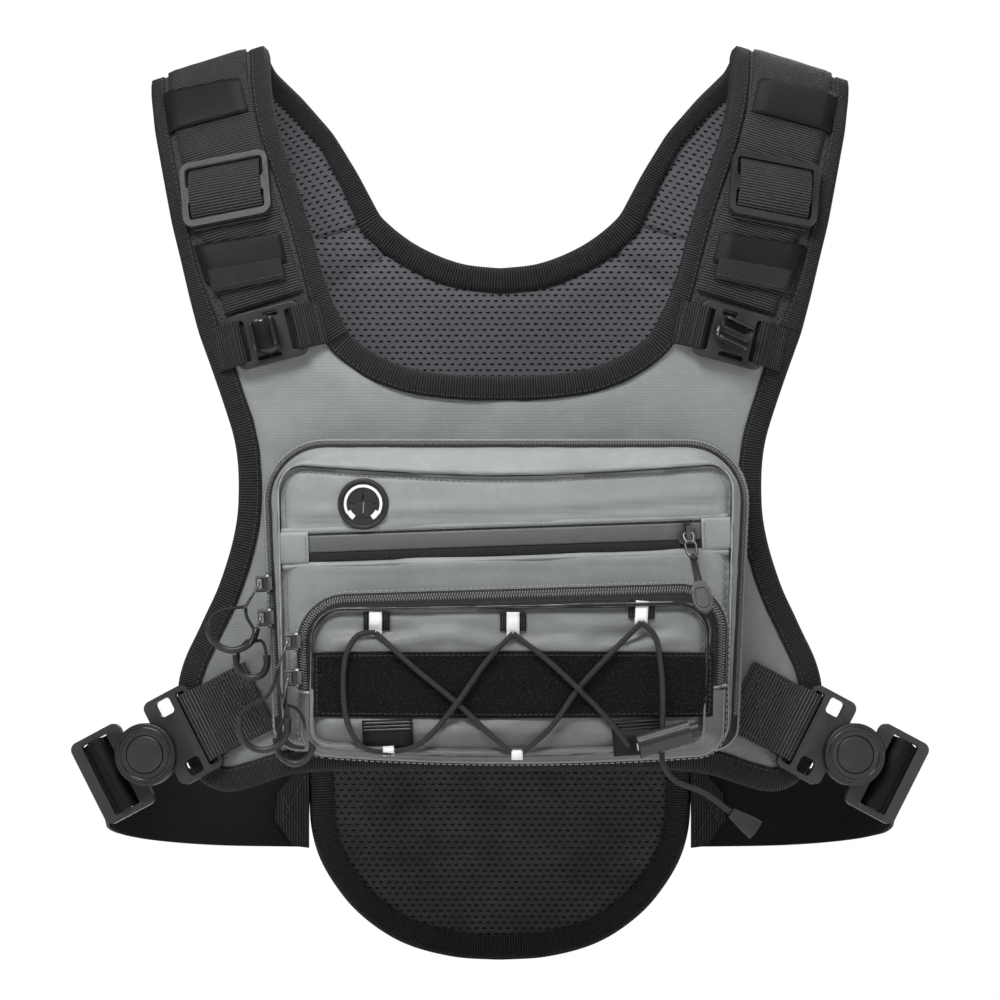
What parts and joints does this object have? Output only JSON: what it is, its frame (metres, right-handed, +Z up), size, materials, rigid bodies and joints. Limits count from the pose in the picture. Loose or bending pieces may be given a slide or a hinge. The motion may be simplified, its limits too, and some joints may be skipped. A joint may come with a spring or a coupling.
{
  "type": "chest pack vest",
  "caption": "Padded chest-pack vest with stacked zip pockets, mesh back panel, shoulder straps with swivel tube clips, laced cord and elastic side belts on press-button buckles.",
  "frame": {"origin": "centre of the back panel's flat rear face, at mid chest height", "axes": "+X to the viewer's right when facing the pockets, +Y out of the rear face, +Z up"},
  "size_m": [0.4302, 0.2017, 0.4593],
  "materials": {
    "coated_grey": "satin",
    "spacer_mesh": "matte",
    "foam": "matte",
    "black_binding": "matte",
    "black_webbing": "satin",
    "black_elastic": "matte",
    "black_plastic": "satin",
    "spring_steel": "satin",
    "zip_tape": "satin",
    "loop_pile": "matte",
    "rubber_port": "matte",
    "black_cord": "matte",
    "pale_tab": "satin",
    "dark_metal": "satin"
  },
  "bodies": {
    "back": {"back_shell": "coated_grey", "back_foam": "foam", "back_mesh": "spacer_mesh", "back_binding": "black_binding", "left_yoke": "spacer_mesh", "right_yoke": "spacer_mesh", "left_belt": "black_elastic", "right_belt": "black_elastic", "belt_anchors": "black_binding", "left_buckle_male": "black_plastic", "right_buckle_male": "black_plastic"},
    "front": {"front_panel": "coated_grey", "front_lining": "spacer_mesh", "front_binding": "black_binding", "left_strap": "spacer_mesh", "right_strap": "spacer_mesh", "left_strap_webbing": "black_webbing", "right_strap_webbing": "black_webbing", "strap_keepers": "black_elastic", "clip_webbings": "black_webbing", "clip_plates": "black_plastic", "wing_webbings": "black_webbing", "left_buckle_female": "black_plastic", "right_buckle_female": "black_plastic", "buckle_springs": "spring_steel", "main_pocket": "coated_grey", "main_zip_tape": "zip_tape", "main_zip_coil": "zip_tape", "front_pocket": "coated_grey", "front_zip_tape": "zip_tape", "front_zip_coil": "zip_tape", "welt_zip_tape": "zip_tape", "welt_garages": "coated_grey", "loop_field": "loop_pile", "headphone_port": "rubber_port", "shock_cord": "black_cord", "cord_end": "black_plastic", "cord_tabs": "pale_tab", "lower_tabs": "black_webbing"},
    "left_button": {"left_buckle_button": "black_plastic"},
    "right_button": {"right_buckle_button": "black_plastic"},
    "left_adjust": {"left_adjuster": "black_plastic", "left_bight": "black_webbing"},
    "right_adjust": {"right_adjuster": "black_plastic", "right_bight": "black_webbing"},
    "left_clip": {"left_hose_clip": "black_plastic"},
    "right_clip": {"right_hose_clip": "black_plastic"},
    "main_zip_a": {"main_slider_a": "dark_metal"},
    "main_zip_b": {"main_slider_b": "dark_metal"},
    "front_zip_a": {"front_slider_a": "dark_metal"},
    "front_zip_b": {"front_slider_b": "dark_metal"},
    "welt_zip": {"welt_slider": "dark_metal"},
    "main_tag_a": {"main_pull_a": "rubber_port"},
    "main_tag_b": {"main_pull_b": "rubber_port"},
    "front_tag_a": {"front_pull_a": "rubber_port"},
    "front_tag_b": {"front_pull_b": "rubber_port"},
    "welt_tag": {"welt_pull": "rubber_port"},
    "cord_lock": {"cord_lock_barrel": "dark_metal", "cord_lock_spring": "spring_steel"},
    "cord_plunger": {"cord_lock_plunger": "black_plastic"}
  },
  "joints": [
    {"name": "front_swing", "type": "hinge", "parent": "back", "child": "front", "pos_m": [0, -0.045, 0.2862], "axis": [-1, 0, 0], "range_deg": [0, 80]},
    {"name": "left_button_press", "type": "slide", "parent": "front", "child": "left_button", "axis": [0.2419, 0.9703, 0], "range_m": [0, 0.002], "stiffness_N_per_m": 400, "springref_m": -0.0005},
    {"name": "right_button_press", "type": "slide", "parent": "front", "child": "right_button", "axis": [-0.2419, 0.9703, 0], "range_m": [0, 0.002], "stiffness_N_per_m": 400, "springref_m": -0.0005},
    {"name": "left_adjuster_slide", "type": "slide", "parent": "front", "child": "left_adjust", "axis": [-0.2112, 0.4257, 0.8799], "range_m": [-0.002, 0.01]},
    {"name": "right_adjuster_slide", "type": "slide", "parent": "front", "child": "right_adjust", "axis": [0.2112, 0.4257, 0.8799], "range_m": [-0.002, 0.01]},
    {"name": "left_clip_swivel", "type": "hinge", "parent": "front", "child": "left_clip", "pos_m": [-0.115, -0.11313, 0.1395], "axis": [-0.2027, -0.9757, 0.0827], "continuous": true},
    {"name": "right_clip_swivel", "type": "hinge", "parent": "front", "child": "right_clip", "pos_m": [0.115, -0.11313, 0.1395], "axis": [0.2027, -0.9757, 0.0827], "continuous": true},
    {"name": "main_zip_a_run", "type": "slide", "parent": "front", "child": "main_zip_a", "axis": [-0.0583, 0, 0.9983], "range_m": [0, 0.03]},
    {"name": "main_zip_b_run", "type": "slide", "parent": "front", "child": "main_zip_b", "axis": [-0.0583, 0, 0.9983], "range_m": [-0.032, 0]},
    {"name": "front_zip_a_run", "type": "slide", "parent": "front", "child": "front_zip_a", "axis": [-0.0235, 0, 0.9997], "range_m": [0, 0.005]},
    {"name": "front_zip_b_run", "type": "slide", "parent": "front", "child": "front_zip_b", "axis": [-0.0235, 0, 0.9997], "range_m": [-0.008, 0]},
    {"name": "welt_zip_run", "type": "hinge", "parent": "front", "child": "welt_zip", "pos_m": [0, 0.475, 0.0376], "axis": [-0.0345, 0, 0.9994], "range_deg": [-15.5, 0]},
    {"name": "main_tag_a_swing", "type": "hinge", "parent": "main_zip_a", "child": "main_tag_a", "pos_m": [-0.12051, -0.13581, 0.0155], "axis": [0, 1, 0], "range_deg": [-12, 100]},
    {"name": "main_tag_b_swing", "type": "hinge", "parent": "main_zip_b", "child": "main_tag_b", "pos_m": [-0.11952, -0.13599, -0.0015], "axis": [0, 1, 0], "range_deg": [-10, 68]},
    {"name": "front_tag_a_swing", "type": "hinge", "parent": "front_zip_a", "child": "front_tag_a", "pos_m": [-0.10598, -0.17018, -0.0132], "axis": [0, 1, 0], "range_deg": [-6, 100]},
    {"name": "front_tag_b_swing", "type": "hinge", "parent": "front_zip_b", "child": "front_tag_b", "pos_m": [-0.10556, -0.17024, -0.0312], "axis": [0, 1, 0], "range_deg": [-6, 25]},
    {"name": "welt_tag_swing", "type": "hinge", "parent": "welt_zip", "child": "welt_tag", "pos_m": [0.09381, -0.16547, 0.04072], "axis": [-0.9894, -0.1449, 0], "range_deg": [0, 60]},
    {"name": "cord_lock_run", "type": "slide", "parent": "front", "child": "cord_lock", "axis": [0, 0, 1], "range_m": [0, 0.012]},
    {"name": "cord_lock_press", "type": "slide", "parent": "cord_lock", "child": "cord_plunger", "axis": [-0.9535, -0.122, -0.2756], "range_m": [0, 0.0024], "stiffness_N_per_m": 300, "springref_m": -0.001}
  ]
}
